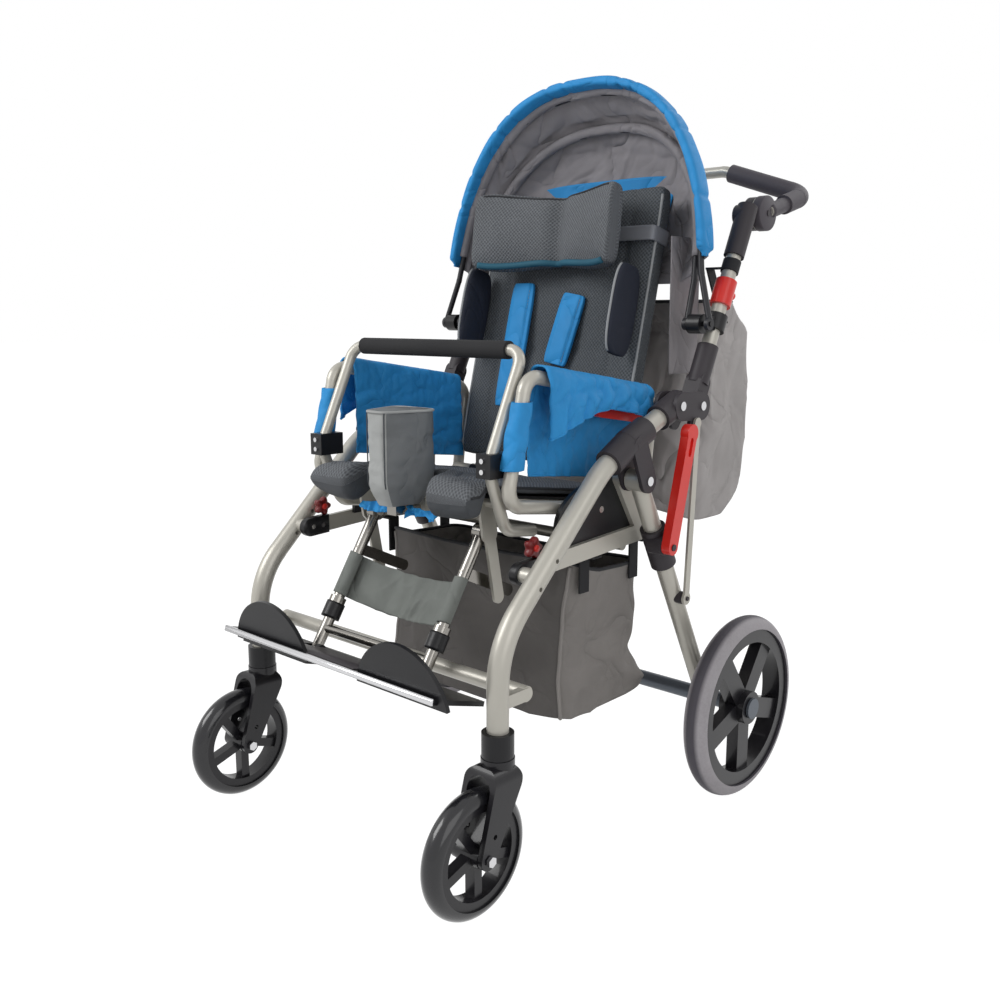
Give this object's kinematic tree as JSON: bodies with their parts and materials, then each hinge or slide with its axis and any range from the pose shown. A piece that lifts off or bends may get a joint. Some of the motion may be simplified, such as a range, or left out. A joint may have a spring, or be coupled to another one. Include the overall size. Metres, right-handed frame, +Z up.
{
  "type": "special needs buggy",
  "caption": "Folding pushchair for a disabled child: tilting padded seat with head and trunk supports, grab bar, pommel, leg rest, hood, basket and swivel front wheels.",
  "frame": {"origin": "On the ground, under the middle of the overall box.", "axes": "+Z is up, -Y is the way the child faces and the buggy rolls forwards, +X is the child's left."},
  "size_m": [0.724, 0.9252, 1.1695],
  "materials": {
    "frame_tube": "satin silver tube",
    "grey_plastic": "moulded dark grey plastic",
    "black_plastic": "moulded black plastic",
    "red_plastic": "moulded red plastic",
    "plated_steel": "bright plated steel",
    "black_steel": "black powder coat",
    "black_rim": "moulded black spokes",
    "caster_tyre": "smooth black",
    "rear_tyre": "smooth grey",
    "grip_foam": "dark soft foam",
    "blue_cloth": "woven blue cloth",
    "mesh_cloth": "grey spacer mesh",
    "grey_cloth": "plain grey cloth",
    "dark_cloth": "dark navy cloth",
    "webbing": "woven black tape"
  },
  "bodies": {
    "frame": {"front_legs": "frame_tube", "stem_sockets": "grey_plastic", "frame_connectors": "grey_plastic", "upper_tubes": "frame_tube", "hinge_housings": "grey_plastic", "cross_tubes": "frame_tube", "side_rails": "frame_tube", "tilt_plates": "black_plastic", "frame_pins": "plated_steel", "basket": "grey_cloth", "basket_straps": "webbing"},
    "caster_left": {"caster_fork_left": "black_rim"},
    "caster_right": {"caster_fork_right": "black_rim"},
    "caster_wheel_left": {"caster_rim_left": "black_rim", "caster_tyre_left": "caster_tyre"},
    "caster_wheel_right": {"caster_rim_right": "black_rim", "caster_tyre_right": "caster_tyre"},
    "rear_leg_frame": {"rear_legs": "frame_tube", "leg_blocks": "grey_plastic", "rear_axle": "black_steel"},
    "rear_wheel_left": {"rear_rim_left": "black_rim", "rear_tyre_left": "rear_tyre"},
    "rear_wheel_right": {"rear_rim_right": "black_rim", "rear_tyre_right": "rear_tyre"},
    "struts": {"fold_struts": "frame_tube"},
    "lever_left": {"lock_lever_left": "red_plastic"},
    "lever_right": {"lock_lever_right": "red_plastic"},
    "push_frame": {"push_tubes": "frame_tube", "push_sleeves": "grey_plastic", "catch_collars": "red_plastic", "handle_sockets": "grey_plastic", "hood_brackets": "black_plastic", "hood_cover": "blue_cloth", "back_bag": "grey_cloth", "bag_straps": "webbing"},
    "handle": {"handlebar": "frame_tube", "handle_grips": "grip_foam"},
    "front_hood": {"front_bow": "black_steel"},
    "mid_hood": {"mid_bow": "black_steel"},
    "seat": {"seat_frame": "frame_tube", "seat_pan": "black_plastic", "seat_cushion": "mesh_cloth", "arm_covers": "blue_cloth", "arm_catches": "red_plastic", "leg_hangers": "frame_tube"},
    "grab": {"grab_bar": "frame_tube", "grab_foam": "grip_foam", "grab_clamps": "black_plastic"},
    "pommel": {"pommel_pad": "mesh_cloth", "pommel_stem": "plated_steel"},
    "leg_rest": {"leg_tubes": "plated_steel", "calf_strap": "grey_cloth"},
    "foot": {"foot_board": "black_plastic", "foot_guards": "black_plastic"},
    "backrest": {"back_frame": "black_steel", "back_cushion": "mesh_cloth", "shoulder_pads": "blue_cloth", "trunk_supports": "dark_cloth"},
    "headrest": {"head_straps": "grey_cloth", "head_cushion": "mesh_cloth"}
  },
  "joints": [
    {"name": "frame_fold", "type": "hinge", "parent": "frame", "child": "push_frame", "pos_m": [0, 0.1185, 0.645], "axis": [-1, 0, 0], "range_deg": [0, 100], "deforming": ["back_bag"]},
    {"name": "rear_leg_fold", "type": "hinge", "parent": "frame", "child": "rear_leg_frame", "pos_m": [0, -0.0205, 0.543], "axis": [-1, 0, 0], "range_deg": [0, 30]},
    {"name": "strut_fold", "type": "hinge", "parent": "rear_leg_frame", "child": "struts", "pos_m": [0, 0.0825, 0.345], "axis": [1, 0, 0], "range_deg": [0, 10]},
    {"name": "lever_left_open", "type": "hinge", "parent": "rear_leg_frame", "child": "lever_left", "pos_m": [0.302, 0.0175, 0.44], "axis": [1, 0, 0], "range_deg": [0, 25]},
    {"name": "lever_right_open", "type": "hinge", "parent": "rear_leg_frame", "child": "lever_right", "pos_m": [-0.302, 0.0175, 0.44], "axis": [1, 0, 0], "range_deg": [0, 25]},
    {"name": "caster_left_swivel", "type": "hinge", "parent": "frame", "child": "caster_left", "pos_m": [0.268, -0.3265, 0.197], "axis": [0, 0, 1], "continuous": true},
    {"name": "caster_right_swivel", "type": "hinge", "parent": "frame", "child": "caster_right", "pos_m": [-0.268, -0.3265, 0.197], "axis": [0, 0, 1], "continuous": true},
    {"name": "caster_left_spin", "type": "hinge", "parent": "caster_left", "child": "caster_wheel_left", "pos_m": [0.268, -0.3735, 0.089], "axis": [1, 0, 0], "continuous": true},
    {"name": "caster_right_spin", "type": "hinge", "parent": "caster_right", "child": "caster_wheel_right", "pos_m": [-0.268, -0.3735, 0.089], "axis": [1, 0, 0], "continuous": true},
    {"name": "rear_left_spin", "type": "hinge", "parent": "rear_leg_frame", "child": "rear_wheel_left", "pos_m": [0.335, 0.1875, 0.15], "axis": [1, 0, 0], "continuous": true},
    {"name": "rear_right_spin", "type": "hinge", "parent": "rear_leg_frame", "child": "rear_wheel_right", "pos_m": [-0.335, 0.1875, 0.15], "axis": [1, 0, 0], "continuous": true},
    {"name": "handle_angle", "type": "hinge", "parent": "push_frame", "child": "handle", "pos_m": [0, 0.30455, 0.94714], "axis": [1, 0, 0], "range_deg": [-50, 60]},
    {"name": "hood_open", "type": "hinge", "parent": "push_frame", "child": "front_hood", "pos_m": [0, 0.1305, 0.77], "axis": [1, 0, 0], "range_deg": [0, 55], "deforming": ["hood_cover"]},
    {"name": "hood_mid_open", "type": "hinge", "parent": "push_frame", "child": "mid_hood", "pos_m": [0, 0.1305, 0.77], "axis": [1, 0, 0], "range_deg": [0, 27.5]},
    {"name": "seat_tilt", "type": "hinge", "parent": "frame", "child": "seat", "pos_m": [0, -0.05762, 0.49872], "axis": [-1, 0, 0], "range_deg": [-3, 12], "deforming": ["back_bag", "hood_cover"]},
    {"name": "recline", "type": "hinge", "parent": "seat", "child": "backrest", "pos_m": [0, 0.0695, 0.505], "axis": [-1, 0, 0], "range_deg": [0, 25], "deforming": ["back_bag", "hood_cover"]},
    {"name": "head_height", "type": "slide", "parent": "backrest", "child": "headrest", "axis": [0, 0.2419, 0.9703], "range_m": [0, 0.06], "deforming": ["hood_cover"]},
    {"name": "grab_reach", "type": "slide", "parent": "seat", "child": "grab", "axis": [0, -1, 0], "range_m": [0, 0.05]},
    {"name": "pommel_reach", "type": "slide", "parent": "seat", "child": "pommel", "axis": [0, -1, 0], "range_m": [0, 0.05]},
    {"name": "leg_lift", "type": "hinge", "parent": "seat", "child": "leg_rest", "pos_m": [0, -0.1995, 0.471], "axis": [-1, 0, 0], "range_deg": [0, 45]},
    {"name": "foot_flip", "type": "hinge", "parent": "leg_rest", "child": "foot", "pos_m": [0, -0.32843, 0.26769], "axis": [-1, 0, 0], "range_deg": [0, 50]}
  ],
  "couplings": [
    {"joint": "rear_leg_fold", "follows": "frame_fold", "ratio": 0.3},
    {"joint": "strut_fold", "follows": "frame_fold", "ratio": 0.1},
    {"joint": "hood_mid_open", "follows": "hood_open", "ratio": 0.5}
  ]
}
